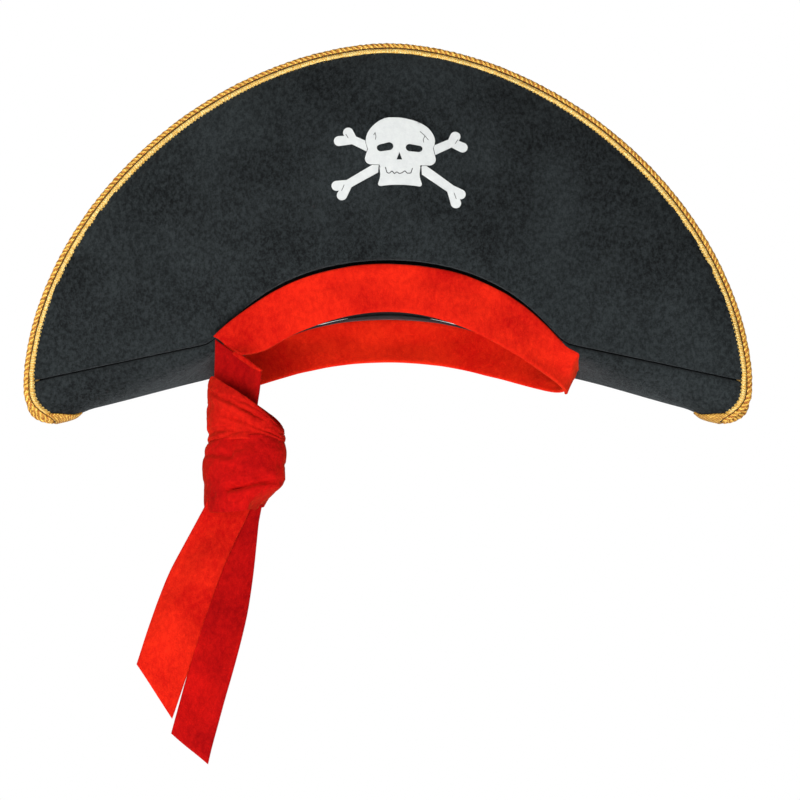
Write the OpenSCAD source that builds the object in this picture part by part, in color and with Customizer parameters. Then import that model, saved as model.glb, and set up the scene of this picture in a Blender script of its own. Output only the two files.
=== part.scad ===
/* [Brim] */
// Width of the hat from wing tip to wing tip, over the gold edge
brim_w = 482; // [440:1:520]
// Height of the flap tops above the head opening's lowest edge
brim_top = 216; // [190:1:240]
// How far the wing tips hang below the head opening's lowest edge
tip_drop = 26; // [15:1:35]
// Height at which the wings are widest, below the opening's lowest edge
wide_drop = 1; // [0:0.5:5]
// How far each flap's top stands out from the middle of the hat
flap_reach = 75; // [68:1:95]
// Half the space between the two flaps at the wing tips
tip_gap = 13; // [10:0.5:20]
// Roundness of the outline, where 2 is an ellipse and less is flatter shoulders
outline_power = 1.8; // [1.6:0.05:2.2]
// How far the gold edge curls back under each tip
tip_curl = 16; // [8:1:24]
// How far each flap bows outwards between its foot and its edge
flap_bow = 4; // [0:0.5:8]
// Thickness of the foam between the two velvet faces
foam_t = 4.5; // [3:0.25:7]
// Thickness of the velvet with its pile
velvet_t = 1; // [0.6:0.1:1.6]
// Thickness of the sewn edge, where the foam is squashed flat
edge_t = 3; // [2.5:0.1:5]
// Space left along the line on which a flap flexes
flex_gap = 3; // [2.5:0.1:5]

/* [Opening] */
// Width of the head opening, measured on the sash
opening_w = 240; // [220:1:260]
// Depth of the head opening, front to back, as the hat lies unworn
opening_d = 120; // [108:1:132]
// Height of the sash's top edge at the front and back
seam_front_z = 67; // [60:1:75]
// Height of the sash's top edge at the two sides
seam_side_z = 23; // [18:1:28]

/* [Sash] */
// Height of the sash's bottom edge at the front and back
sash_low_z = 35; // [30:1:42]
// Thickness of the sash, two layers of velvet
sash_t = 2.2; // [1.6:0.1:3]
// Width of the strip that drops to the knot
drop_w = 34; // [30:1:40]
// Width of the front tail
tail_front_w = 33; // [26:1:38]
// Width of the rear tail, which hangs half turned
tail_rear_w = 28; // [22:1:34]
// Length of the front tail below the knot
tail_front_len = 136; // [110:1:160]
// Length of the rear tail below the knot
tail_rear_len = 163; // [120:1:180]
// Thickness of one tail
tail_t = 1.8; // [1.4:0.1:2.6]
// Height of the knot
knot_h = 82; // [65:1:95]
// Width of the knot
knot_w = 58; // [46:1:64]
// Depth of the knot, front to back
knot_d = 40; // [32:1:46]

/* [Crown] */
// Height of the crown's top above the opening's lowest edge
crown_top = 150; // [125:1:165]
// Height of the crown's side seam above the sash
crown_side_rise = 26; // [15:1:40]
// Thickness of a crown panel
crown_t = 1.2; // [0.8:0.1:2]
// Thickness of the crown's lining
lining_t = 0.5; // [0.3:0.1:0.8]

/* [Gold edge] */
// Diameter of the piped bead round the edge
bead_d = 3.6; // [2.8:0.1:5]
// Width of the gold tape that shows on each face of the edge
tape_w = 4; // [3:0.25:7]
// Thickness of the gold tape
tape_t = 0.6; // [0.4:0.1:1]

/* [Emblem] */
// Middle of the emblem, sideways from the middle of the hat
emblem_x = 8; // [-10:1:10]
// Middle of the emblem's height
emblem_z = 138; // [128:1:150]
// Size of the emblem against its full size of 84 mm
emblem_scale = 1; // [0.8:0.05:1.15]
// Thickness of the white vinyl
vinyl_t = 0.6; // [0.4:0.1:1]

/* [Hidden] */

black_velvet = "#20262a";
black_lining = "#15171a";
foam_grey = "#5a5c60";
gold = "#e0a93a";
red_velvet = "#dd1a10";
white_vinyl = "#f2f2f0";

eps = 0.001;
fit = 0.25; // clearance between sewn layers
tape_gap = 0.45; // clearance between the gold tape and the velvet that it bends round
stack_t = foam_t + 2 * velvet_t;
half_w = brim_w / 2;
edge_inset = bead_d + tape_t + tape_gap;

// ---- Small helpers ----

function lerp(a, b, t) = a + (b - a) * t;
function unit(v) = v / max(norm(v), eps);
function sgn_pow(v, p) = sign(v) * pow(abs(v), p);
function smooth_max(a, b, k) = pow(pow(a, k) + pow(b, k), 1 / k);
function ease(t) = t * t * (3 - 2 * t);
function mirror_y(p) = [p.x, -p.y, p.z];
function mirror_x(p) = [-p.x, p.y, p.z];
// Grids run over i first; flipped grids keep their outward side after a mirror.
function map_grid(g, axis) =
    [for (row = g) [for (p = row) axis == "x" ? mirror_x(p) : axis == "y" ? mirror_y(p) : p]];

// Two triangles for one cell of a grid; the diagonal leans the other way in the grid's first half.
function cell(a, b, c, d, first_half) = first_half ? [[a, b, d], [b, c, d]] : [[a, b, c], [a, c, d]];
function turned(faces) = [for (f = faces) [f[0], f[2], f[1]]];
// A closed solid between two grids of points with the same number of rows and columns.
module sheet_solid(outer, inner) {
    n = len(outer);
    m = len(outer[0]);
    k = n * m;
    points = concat([for (row = outer) each row], [for (row = inner) each row]);
    function at(i, j) = i * m + j;
    function cells(base, i, j) =
        cell(base + at(i, j), base + at(i, j + 1), base + at(i + 1, j + 1), base + at(i + 1, j), i < (n - 1) / 2);
    function wall(a, b) = [[a, b, k + b], [a, k + b, k + a]];
    faces = concat(
        [for (i = [0:n - 2], j = [0:m - 2]) each cells(0, i, j)],
        [for (i = [0:n - 2], j = [0:m - 2]) each turned(cells(k, i, j))],
        [for (i = [0:n - 2]) each concat(wall(at(i, 0), at(i + 1, 0)), wall(at(i + 1, m - 1), at(i, m - 1)))],
        [for (j = [0:m - 2]) each concat(wall(at(0, j + 1), at(0, j)), wall(at(n - 1, j), at(n - 1, j + 1)))]
    );
    polyhedron(points = points, faces = faces);
}

// A closed tube of the given rings, each a list of the same number of points; open ends are capped.
module ring_solid(rings, closed = false) {
    n = len(rings);
    m = len(rings[0]);
    last = closed ? n - 1 : n - 2;
    points = [for (ring = rings) each ring];
    function at(i, j) = (i % n) * m + j % m;
    sides = [for (i = [0:last], j = [0:m - 1]) each
        [[at(i, j), at(i + 1, j), at(i + 1, j + 1)], [at(i, j), at(i + 1, j + 1), at(i, j + 1)]]];
    caps = closed ? [] : [for (j = [1:m - 2]) each
        [[at(0, 0), at(0, j), at(0, j + 1)], [at(n - 1, 0), at(n - 1, j + 1), at(n - 1, j)]]];
    polyhedron(points = points, faces = concat(sides, caps));
}

// ---- Brim surfaces ----

// The flap's foot and the side roll's edge both lie on one slanting plane, so the flap can flex there.
foot_mid_y = opening_d / 2 + 1.5;
foot_side_x = opening_w / 2 + 5;
foot_power = 2.2; // roundness of the foot's ends, as of the seam above the sash
foot_join = 8; // sharpness of the corner between the round foot and the wings
wing_start_x = opening_w / 2 - 20;
wing_start_y = foot_mid_y - 30.5;
foot_slope = (seam_front_z + 0.5 + wide_drop) / (foot_mid_y - tip_gap);
function foot_round(x) = pow(max(1 - pow(abs(x) / foot_side_x, foot_power), 0), 0.5);
function foot_wing(x) = wing_start_y - (abs(x) - wing_start_x) * (wing_start_y - tip_gap) / (half_w - wing_start_x);
function foot_y(x) = smooth_max(foot_mid_y * foot_round(x), foot_wing(x), foot_join);
function foot_z(y) = foot_slope * (y - tip_gap) - wide_drop;

// Front flap's outline at angle a, 0 at the right tip and 180 at the left, set in by d.
function rim(a, d) =
    let (h = pow(sin(a), 2 / outline_power))
    let (rise = (brim_top - d + wide_drop) * h)
    [(half_w - d) * sgn_pow(cos(a), 2 / outline_power),
     -(tip_gap + (flap_reach - tip_gap) * rise / (brim_top + wide_drop)),
     rise - wide_drop];

rim_start = 1.5;
function rim_angle(u) = 90 - (90 - rim_start) * u;
function foot(u) =
    let (x = u * (half_w - edge_inset - 0.4))
    [x, -foot_y(x), foot_z(foot_y(x))];
// Middle of the front flap at u, -1 to 1 from left to right, and t, 0 to 1 from foot to edge.
function flap_mid(u, t) =
    let (low = foot(u), high = rim(rim_angle(u), edge_inset))
    let (start = low + unit(high - low) * min(flex_gap, norm(high - low) / 2))
    lerp(start, high, t) - [0, flap_bow * sin(180 * t) * (1 - u * u), 0];
function flap_normal(u, t) =
    let (v = max(-0.95, min(0.95, u)), s = min(0.9, t), step = 0.02)
    unit(cross(flap_mid(v + step, s) - flap_mid(v - step, s), flap_mid(v, s + step) - flap_mid(v, s - step)));
// Half the thickness of the flap, full over most of it and squashed at the edge.
function half_thick(t) = edge_t / 2 + (stack_t - edge_t) / 2 * ease(min(1, (1 - t) / 0.12));
function flap_pt(u, t, off) = flap_mid(u, t) + flap_normal(u, t) * off;
function flap_out(u, t) = unit(flap_mid(u, 1) - flap_mid(u, 0.95));

flap_cols = 30;
flap_steps = [0, 0.12, 0.3, 0.5, 0.7, 0.86, 0.94, 1];
function flap_layer(side) =
    [for (i = [0:flap_cols]) let (u = 2 * i / flap_cols - 1)
        [for (t = flap_steps) flap_pt(u, t,
            side == 2 ? half_thick(t) : side == 1 ? half_thick(t) - velvet_t
            : side == -1 ? velvet_t - half_thick(t) : -half_thick(t))]];

// Side roll, p = 0 at the opening to 1 at the tip, q = -1 at the front crease to 1 at the back one.
roll_in_x = opening_w / 2 + sash_t / 2 + 0.6;
roll_in_z = seam_side_z - 10;
roll_crease_x = opening_w / 2 - 16;
roll_sag = 2.5;
function roll_mid(p, q) =
    let (x_tip = half_w - edge_inset)
    let (crease_x = lerp(roll_crease_x, x_tip, p))
    let (bottom_x = lerp(roll_in_x, x_tip - tip_curl, p))
    let (bottom_z = lerp(roll_in_z, edge_inset - tip_drop, p) - roll_sag * sin(180 * p))
    let (crease_y = foot_y(crease_x), crease_z = foot_z(foot_y(crease_x)))
    [bottom_x + (crease_x - bottom_x) * (1 - pow(cos(90 * q), 2 + 2 * p)),
     crease_y * sin(90 * q),
     bottom_z + (crease_z - bottom_z) * (1 - cos(90 * q))];
function roll_normal(p, q) =
    let (a = max(0.02, min(0.97, p)), b = max(-0.97, min(0.97, q)), step = 0.015)
    unit(cross(roll_mid(a, b + step) - roll_mid(a, b - step), roll_mid(a + step, b) - roll_mid(a - step, b)));
function roll_thick(p) = edge_t / 2 + (stack_t - edge_t) / 2 * ease(min(1, (1 - p) / 0.12));
function roll_pt(p, q, off) = roll_mid(p, q) + roll_normal(p, q) * off;
function roll_out(q) = unit(roll_mid(1, q) - roll_mid(0.96, q));
roll_steps = [0, 0.15, 0.3, 0.45, 0.6, 0.75, 0.88, 0.95, 1];
roll_cols = 10;
function roll_layer(side) =
    [for (p = roll_steps)
        [for (j = [0:roll_cols]) let (q = 2 * j / roll_cols - 1) roll_pt(p, q,
            side == 2 ? roll_thick(p) : side == 1 ? roll_thick(p) - velvet_t
            : side == -1 ? velvet_t - roll_thick(p) : -roll_thick(p))]];

module flap_sheet(outer, inner, back) {
    if (back) sheet_solid(map_grid(flap_layer(inner), "y"), map_grid(flap_layer(outer), "y"));
    else sheet_solid(flap_layer(outer), flap_layer(inner));
}
module roll_sheet(outer, inner, left) {
    if (left) sheet_solid(map_grid(roll_layer(inner), "x"), map_grid(roll_layer(outer), "x"));
    else sheet_solid(roll_layer(outer), roll_layer(inner));
}

module brim_front_velvet() { color(black_velvet) flap_sheet(2, 1, false); }
module brim_front_foam() { color(foam_grey) flap_sheet(1, -1, false); }
module brim_front_lining() { color(black_lining) flap_sheet(-1, -2, false); }
module brim_back_velvet() { color(black_velvet) flap_sheet(2, 1, true); }
module brim_back_foam() { color(foam_grey) flap_sheet(1, -1, true); }
module brim_back_lining() { color(black_lining) flap_sheet(-1, -2, true); }
module brim_left_velvet() { color(black_velvet) roll_sheet(2, 1, true); }
module brim_left_foam() { color(foam_grey) roll_sheet(1, -1, true); }
module brim_left_lining() { color(black_lining) roll_sheet(-1, -2, true); }
module brim_right_velvet() { color(black_velvet) roll_sheet(2, 1, false); }
module brim_right_foam() { color(foam_grey) roll_sheet(1, -1, false); }
module brim_right_lining() { color(black_lining) roll_sheet(-1, -2, false); }

// ---- Gold edge ----

tape_cols = 44;
tip_cols = 10;
bead_sides = 8;

// The tape's section round the edge, from one face over the edge to the other.
function tape_section(mid_pt, normal, out, thick_in, layer) =
    let (grow = tape_gap + (layer == "outer" ? tape_t : 0))
    let (edge = edge_t / 2)
    [mid_pt[0] + normal * (thick_in + grow),
     mid_pt[1] + normal * (edge + grow),
     mid_pt[1] + out * grow + normal * (layer == "outer" ? edge * 0.7 : edge),
     mid_pt[1] + out * grow - normal * (layer == "outer" ? edge * 0.7 : edge),
     mid_pt[1] - normal * (edge + grow),
     mid_pt[0] - normal * (thick_in + grow)];
function flap_tape(u, layer) =
    let (span = norm(rim(rim_angle(u), edge_inset) - foot(u)))
    let (t = max(0.4, 1 - tape_w / max(span, 2 * tape_w)))
    tape_section([flap_mid(u, t), flap_mid(u, 1)], flap_normal(u, 1), flap_out(u, 1),
        max(half_thick(t), edge_t / 2), layer);
function roll_tape(q, layer) =
    let (span = norm(roll_mid(1, q) - roll_mid(0, q)))
    let (p = 1 - tape_w / span)
    tape_section([roll_mid(p, q), roll_mid(1, q)], roll_normal(1, q), roll_out(q),
        max(roll_thick(p), edge_t / 2), layer);
function flap_tape_grid(layer) =
    [for (i = [0:tape_cols]) flap_tape(2 * i / tape_cols - 1, layer)];
function roll_tape_grid(layer) = [for (j = [0:tip_cols]) roll_tape(2 * j / tip_cols - 1, layer)];

module flap_tape_solid(back) {
    outer = flap_tape_grid("outer");
    inner = flap_tape_grid("inner");
    if (back) sheet_solid(map_grid(inner, "y"), map_grid(outer, "y"));
    else sheet_solid(outer, inner);
}
module roll_tape_solid(left) {
    outer = roll_tape_grid("outer");
    inner = roll_tape_grid("inner");
    if (left) sheet_solid(map_grid(outer, "x"), map_grid(inner, "x"));
    else sheet_solid(inner, outer);
}

bead_off = tape_gap + tape_t + bead_d / 2;
function bead_ring(centre, out, normal) =
    [for (k = [0:bead_sides - 1]) let (b = 360 * k / bead_sides)
        centre + (out * cos(b) + normal * sin(b)) * bead_d / 2];
function flap_bead_rings() =
    [for (i = [0:tape_cols]) let (u = 2 * i / tape_cols - 1, out = flap_out(u, 1))
        bead_ring(flap_mid(u, 1) + out * bead_off, out, flap_normal(u, 1))];
function roll_bead_rings() =
    [for (j = [0:tip_cols]) let (q = 2 * j / tip_cols - 1, out = roll_out(q))
        bead_ring(roll_mid(1, q) + out * bead_off, out, roll_normal(1, q))];

module gold_bead_front() { color(gold) ring_solid(flap_bead_rings()); }
module gold_bead_back() { color(gold) mirror([0, 1, 0]) ring_solid(flap_bead_rings()); }
module gold_bead_right_tip() { color(gold) ring_solid(roll_bead_rings()); }
module gold_bead_left_tip() { color(gold) mirror([1, 0, 0]) ring_solid(roll_bead_rings()); }
module gold_tape_front() { color(gold) flap_tape_solid(false); }
module gold_tape_back() { color(gold) flap_tape_solid(true); }
module gold_tape_left_tip() { color(gold) roll_tape_solid(true); }
module gold_tape_right_tip() { color(gold) roll_tape_solid(false); }

// ---- Crown ----

crown_gap = 8; // space between the sash and the crown, taken by the seam tape
crown_a = opening_w / 2 - sash_t / 2 - crown_gap + 4;
crown_b = opening_d / 2 - sash_t / 2 - crown_gap;
crown_cols = 18;
crown_rows = 7;
crown_lean = 0.06; // share by which the panel narrows towards its top
crown_belly = 0.8; // how full the panel's side is
crown_ridge = 0.9; // how round the ridge is
function seam_z(s) = seam_side_z + (seam_front_z - seam_side_z) * pow(abs(s), foot_power);
// Point of the front crown panel set in by d, c = -1 to 1 along it and w = 0 to 1 from hem to top seam.
function crown_pt(c, w, d) =
    let (s = sqrt(max(1 - c * c, 0)))
    let (hem_z = seam_z(s) - 1)
    let (side_top = seam_side_z + crown_side_rise)
    let (ridge_z = side_top - d + (crown_top - side_top) * pow(s, crown_ridge))
    [(crown_a - d) * c * (1 - crown_lean * w * w),
     -(crown_b - d) * s * pow(cos(90 * w), crown_belly),
     hem_z + (ridge_z - hem_z) * pow(sin(90 * w), crown_ridge)];
function crown_grid(d) =
    [for (i = [0:crown_cols]) let (c = -cos(180 * i / crown_cols))
        [for (j = [0:crown_rows]) crown_pt(c, j / crown_rows, d)]];
module crown_panel(d, t, back) {
    if (back) sheet_solid(map_grid(crown_grid(d + t), "y"), map_grid(crown_grid(d), "y"));
    else sheet_solid(crown_grid(d), crown_grid(d + t));
}
module crown_front() { color(black_velvet) crown_panel(0, crown_t, false); }
module crown_back() { color(black_velvet) crown_panel(0, crown_t, true); }
module crown_lining_front() { color(black_lining) crown_panel(crown_t, lining_t, false); }
module crown_lining_back() { color(black_lining) crown_panel(crown_t, lining_t, true); }

// Flat tape under the top seam, from side to side inside the lining.
seam_tape_w = 10;
seam_tape_t = 0.5;
module crown_seam_tape() {
    d = crown_t + lining_t + fit;
    function edge(c, y, e) = [crown_pt(c, 1, d + e).x, y, crown_pt(c, 1, d + e).z - tape_drop(y)];
    function tape_drop(y) = abs(y) > 1 ? 0.5 : 0;
    cs = [for (i = [1:crown_cols - 1]) -cos(180 * i / crown_cols)];
    color(black_lining) sheet_solid(
        [for (c = cs) [edge(c, -seam_tape_w / 2, 1.5), edge(c, 0, 1.5), edge(c, seam_tape_w / 2, 1.5)]],
        [for (c = cs) [edge(c, -seam_tape_w / 2, 1.5 + seam_tape_t), edge(c, 0, 1.5 + seam_tape_t),
            edge(c, seam_tape_w / 2, 1.5 + seam_tape_t)]]);
}

// ---- Sash ----

sash_a = opening_w / 2;
sash_b = opening_d / 2;
sash_cols = 24;
sash_low_side = 2; // how far the sash's side bottom edge leans in
sash_skew = 0.04; // slope of the front's bottom edge near its ends
function sash_low(s, front, x) =
    front ? sash_low_z * pow(s, 3) - sash_skew * x * (1 - s) : sash_low_z * pow(s, 2.3);
// Point of the sash at angle f, w = 0 at its bottom edge to 1 at its top edge, off outwards from its middle.
function sash_pt(f, w, off) =
    let (s = abs(sin(f)), lean = sash_low_side * (1 - w), front = sin(f) < 0)
    let (x = (sash_a - lean) * cos(f), y = (sash_b - lean) * sin(f))
    let (n = unit([cos(f) / sash_a, sin(f) / sash_b, 0]))
    let (low = sash_low(s, front, x), high = seam_z(s))
    [x + n.x * off, y + n.y * off, lerp(low, high, w)];
function sash_grid(f0, f1, off) =
    [for (i = [0:sash_cols]) [for (w = [0, 0.5, 1]) sash_pt(lerp(f0, f1, i / sash_cols), w, off)]];
sash_end = 2; // degrees left open beside the side stitches
module sash_length(f0, f1) {
    sheet_solid(sash_grid(f0, f1, sash_t / 2), sash_grid(f0, f1, -sash_t / 2));
}
module sash_front() { color(red_velvet) sash_length(-180 + sash_end, -sash_end); }
module sash_back() { color(red_velvet) sash_length(sash_end, 180 - sash_end); }

// Tape that joins the crown's hem to the sash's top edge all round the opening.
module opening_seam_tape() {
    ring_cols = 48;
    inner_a = crown_a - crown_t - lining_t - 2;
    inner_b = crown_b - crown_t - lining_t - 2;
    top_drop = 2;
    function ring(i) =
        let (f = 360 * i / ring_cols, z = seam_z(sin(f)) - top_drop)
        let (xo = (sash_a - sash_t / 2 - 2 * fit) * cos(f), yo = (sash_b - sash_t / 2 - 2 * fit) * sin(f))
        let (xi = inner_a * cos(f), yi = inner_b * sin(f))
        [[xo, yo, z], [xi, yi, z], [xi, yi, z - tape_t * 2], [xo, yo, z - tape_t * 2]];
    color(black_lining) ring_solid([for (i = [0:ring_cols - 1]) ring(i)], closed = true);
}

// Bar of thread that closes the sash's side seam.
module sash_side_stitches() {
    bars = 3;
    bar_w = 7;
    bar_t = 1;
    pitch = 2.4;
    low = 1;
    color(red_velvet)
        for (k = [0:bars - 1])
            translate([sash_a + sash_t / 2 + fit, -bar_w / 2, low + k * pitch])
                cube([bar_t, bar_w, bar_t]);
}

// Blank label sewn into the crown's back hem.
label_w = 28;
label_h = 18;
label_t = 0.4;
module care_label() {
    color("#d8d8d4")
        translate([-label_w / 2, crown_b - crown_t - lining_t - 2.2, seam_front_z + 4])
            cube([label_w, label_t, label_h]);
}

// ---- Knot and tails ----

// The strip leaves the sash at its left front and stands clear of the brim's side roll.
drop_f = -145.6;
drop_turn = -20;
drop_stand = 11.5;
drop_mid = sash_pt(drop_f, 0.5, 0) - [0, drop_stand, 0];
drop_top = 29;
drop_end = -5;
neck_end = -17;
hinge_gap = 0.8;
sway_gap = 1.7; // the knot sways sideways under the neck's end
// Puts children in the strip's own axes: x along its width, y out of its face and z up.
module at_drop(z) {
    translate([drop_mid.x, drop_mid.y, z]) rotate([0, 0, drop_turn]) children();
}
module sash_drop() {
    color(red_velvet) at_drop(0)
        translate([-drop_w / 2, -sash_t / 2, drop_end])
            cube([drop_w, sash_t, drop_top - drop_end]);
}
neck_top_w = drop_w - 2;
neck_low_w = 26;
module sash_neck() {
    top_z = drop_end - hinge_gap;
    color(red_velvet) at_drop(0)
        rotate([90, 0, 0]) linear_extrude(sash_t, center = true)
            polygon([[-neck_top_w / 2, top_z], [neck_top_w / 2, top_z],
                [neck_low_w / 2, neck_end], [-neck_low_w / 2, neck_end]]);
}

knot_shift = 5.5; // the knot lies this far towards the hat's middle
knot_low = neck_end - hinge_gap - knot_h;
core_w = knot_w - 12;
core_d = knot_d - 12;
knot_sides = 20;
// Ring of points round the knot, with half sizes a and b, tilted by rise from its middle to its side.
function knot_ring(a, b, z, rise) =
    [for (k = [0:knot_sides - 1]) let (f = -360 * k / knot_sides)
        [knot_shift + a * cos(f), b * sin(f), z + rise * cos(f)]];
module knot_core() {
    rings = 9;
    color(red_velvet) at_drop(0)
        ring_solid([for (i = [0:rings])
            let (k = i / rings, full = pow(sin(18 + 144 * k), 0.6))
            knot_ring(core_w / 2 * full, core_d / 2 * full, lerp(neck_end - sway_gap, knot_low, k), 0)]);
}
// Loop of folded cloth round the core: its section is a flattened ring between z_low and z_high.
module knot_loop(z_low, z_high, rise, out_w, out_d) {
    turns = 10;
    a_in = core_w / 2 + fit;
    b_in = core_d / 2 + fit;
    mid_z = (z_low + z_high) / 2;
    half_h = (z_high - z_low) / 2;
    function section(f) =
        [for (k = [0:turns - 1]) let (g = 360 * k / turns)
            let (a = lerp(a_in, out_w / 2, (1 + cos(g)) / 2), b = lerp(b_in, out_d / 2, (1 + cos(g)) / 2))
            [knot_shift + a * cos(f), b * sin(f), mid_z + half_h * sgn_pow(sin(g), 0.7) + rise * cos(f)]];
    at_drop(0) ring_solid([for (i = [0:knot_sides - 1]) section(360 * i / knot_sides)], closed = true);
}
upper_rise = -9;
upper_low = -46;
upper_high = -19;
module knot_upper_wrap() { color(red_velvet) knot_loop(upper_low, upper_high, upper_rise, knot_w - 5, knot_d - 2); }
module knot_main_wrap() { color(red_velvet) knot_loop(knot_low + 1, upper_low + upper_rise - 0.5, 0, knot_w, knot_d); }

tail_gap = 1.2;
tail_top = knot_low - tail_gap;
tail_front_at = [drop_mid.x - 6.8, drop_mid.y - 5.2];
tail_rear_at = [drop_mid.x + 1.2, drop_mid.y + 0.8];
tail_front_lean = 22;
tail_rear_lean = 10;
tail_front_cut = 24;
tail_rear_cut = 16;
// A flat ribbon from the knot's underside, leaning to the left, with a slanting cut end.
module tail_ribbon(at, lean, w, length, cut) {
    color(red_velvet)
        translate([at.x, at.y, tail_top]) rotate([0, lean, 0]) rotate([90, 0, 0])
            linear_extrude(tail_t, center = true)
                polygon([[-w / 2, -w / 2 * tan(lean)], [w / 2, w / 2 * tan(lean)],
                    [w / 2, -length], [-w / 2, cut - length]]);
}
module tail_front() tail_ribbon(tail_front_at, tail_front_lean, tail_front_w, tail_front_len, tail_front_cut);
module tail_rear() tail_ribbon(tail_rear_at, tail_rear_lean, tail_rear_w, tail_rear_len, tail_rear_cut);

// ---- Emblem ----

patch_cols = 12;
patch_rows = 10;
patch_u = [-0.22, 0.28];
patch_t = [0.14, 0.86];
function patch_grid(off) =
    [for (i = [0:patch_cols]) let (u = lerp(patch_u[0], patch_u[1], i / patch_cols))
        [for (j = [0:patch_rows]) let (t = lerp(patch_t[0], patch_t[1], j / patch_rows))
            flap_pt(u, t, stack_t / 2 + off)]];
// Vinyl cut to a flat outline and laid on the front flap's curve.
module vinyl() {
    color(white_vinyl) intersection() {
        sheet_solid(patch_grid(fit + vinyl_t), patch_grid(fit));
        translate([emblem_x, 0, emblem_z]) rotate([90, 0, 0])
            linear_extrude(flap_reach * 2) scale(emblem_scale) children();
    }
}
module dot(x, y, r) { translate([x, y]) circle(r = r, $fn = 32); }
// Two dots and all that lies between them.
module limb(a, r_a, b, r_b) {
    hull() {
        dot(a.x, a.y, r_a);
        dot(b.x, b.y, r_b);
    }
}
// The skull's outline, grown all round by grow.
module skull_outline(grow = 0) {
    limb([-7.5, 13], 15 + grow, [8, 13], 15 + grow);
    hull() {
        dot(-19, -0.5, 4 + grow);
        dot(19.5, -1.5, 4 + grow);
        dot(-15, 9, 5 + grow);
        dot(16, 9, 5 + grow);
    }
    hull() {
        dot(-11.5, -4, 2 + grow);
        dot(11.5, -4, 2 + grow);
        dot(-12.6, -17.6, 2 + grow);
        dot(12.4, -18.2, 2 + grow);
    }
}
module skull_patch() {
    vinyl() difference() {
        skull_outline();
        limb([-12.6, 7], 2.6, [-7.2, 8], 2.8);
        limb([12.2, 6.4], 2.6, [6.6, 7.2], 2.8);
        polygon([[-2.3, -1.3], [-0.4, 4], [1.5, -1.3]]);
    }
}
bone_gap = 0.4; // the bones stop this far from the skull
root_r = 3.3;
neck_r = 2.9;
knob_r = 3.4;
module bone(from, to, knob_a, knob_b) {
    vinyl() difference() {
        union() {
            limb(from, root_r, to, neck_r);
            limb(to, neck_r, knob_a, knob_r);
            limb(to, neck_r, knob_b, knob_r);
        }
        skull_outline(bone_gap);
    }
}
module bone_upper_left() { bone([-14, 4], [-31, 12.5], [-34, 17.5], [-40, 11.8]); }
module bone_upper_right() { bone([16, 2], [34, 10.5], [36.3, 14.8], [41, 7.2]); }
module bone_lower_left() { bone([-12, -5], [-34, -18], [-41.5, -19], [-38, -25.6]); }
module bone_lower_right() { bone([12, -6], [33.5, -22], [39.6, -25.4], [36.6, -31.5]); }

brim_front_velvet();
brim_front_foam();
brim_front_lining();
brim_back_velvet();
brim_back_foam();
brim_back_lining();
brim_left_velvet();
brim_left_foam();
brim_left_lining();
brim_right_velvet();
brim_right_foam();
brim_right_lining();
gold_bead_front();
gold_bead_back();
gold_bead_left_tip();
gold_bead_right_tip();
gold_tape_front();
gold_tape_back();
gold_tape_left_tip();
gold_tape_right_tip();
crown_front();
crown_back();
crown_lining_front();
crown_lining_back();
crown_seam_tape();
opening_seam_tape();
care_label();
sash_front();
sash_back();
sash_side_stitches();
sash_drop();
sash_neck();
knot_upper_wrap();
knot_main_wrap();
knot_core();
tail_front();
tail_rear();
skull_patch();
bone_upper_left();
bone_upper_right();
bone_lower_left();
bone_lower_right();
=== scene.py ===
import math

import bmesh
import bpy
from mathutils import Matrix, Vector, noise
from mathutils.bvhtree import BVHTree


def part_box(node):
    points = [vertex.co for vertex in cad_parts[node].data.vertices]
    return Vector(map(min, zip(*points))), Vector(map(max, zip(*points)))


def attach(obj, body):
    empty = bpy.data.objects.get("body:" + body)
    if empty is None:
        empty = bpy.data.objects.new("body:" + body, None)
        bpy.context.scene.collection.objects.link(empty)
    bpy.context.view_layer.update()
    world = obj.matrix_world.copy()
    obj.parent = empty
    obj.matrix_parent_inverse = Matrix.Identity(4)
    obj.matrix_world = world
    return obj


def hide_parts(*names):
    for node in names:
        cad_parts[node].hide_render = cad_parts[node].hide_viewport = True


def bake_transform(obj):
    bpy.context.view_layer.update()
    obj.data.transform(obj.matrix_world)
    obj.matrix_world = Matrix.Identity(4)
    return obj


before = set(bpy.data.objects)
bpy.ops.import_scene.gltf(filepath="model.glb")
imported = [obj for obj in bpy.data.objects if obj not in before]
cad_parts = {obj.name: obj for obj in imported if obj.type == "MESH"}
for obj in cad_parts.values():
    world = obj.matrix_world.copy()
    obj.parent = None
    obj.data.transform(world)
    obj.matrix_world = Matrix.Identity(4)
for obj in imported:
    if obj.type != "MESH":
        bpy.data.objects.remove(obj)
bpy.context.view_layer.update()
scene = bpy.context.scene
MM = 0.001

# ---------------------------------------------------------------- camera, light and floor

VIEW_TILT = math.radians(-16)
CAMERA_FAR, SEEN_WIDTH, FILM = 3.0, 0.531, 36
aim = Vector((0.008, 0.0, -0.0083))
away = Vector((0.0, -math.cos(VIEW_TILT), math.sin(VIEW_TILT)))
camera_data = bpy.data.cameras.new("camera")
camera_data.sensor_width = FILM
camera_data.lens = FILM * CAMERA_FAR / SEEN_WIDTH
camera_data.clip_end = 50
camera = bpy.data.objects.new("camera", camera_data)
scene.collection.objects.link(camera)
camera.location = aim + away * CAMERA_FAR
camera.rotation_mode = "QUATERNION"
camera.rotation_quaternion = (-away).to_track_quat("-Z", "Y")
scene.camera = camera
scene.view_settings.view_transform = "Standard"


def lamp(name, size, power, at, tint=(1, 1, 1)):
    """A square soft light that faces the hat."""
    data = bpy.data.lights.new(name, "AREA")
    data.size = size
    data.energy = power
    data.color = tint
    holder = bpy.data.objects.new(name, data)
    scene.collection.objects.link(holder)
    holder.location = at
    holder.rotation_mode = "QUATERNION"
    holder.rotation_quaternion = (-Vector(at)).to_track_quat("-Z", "Y")


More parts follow.
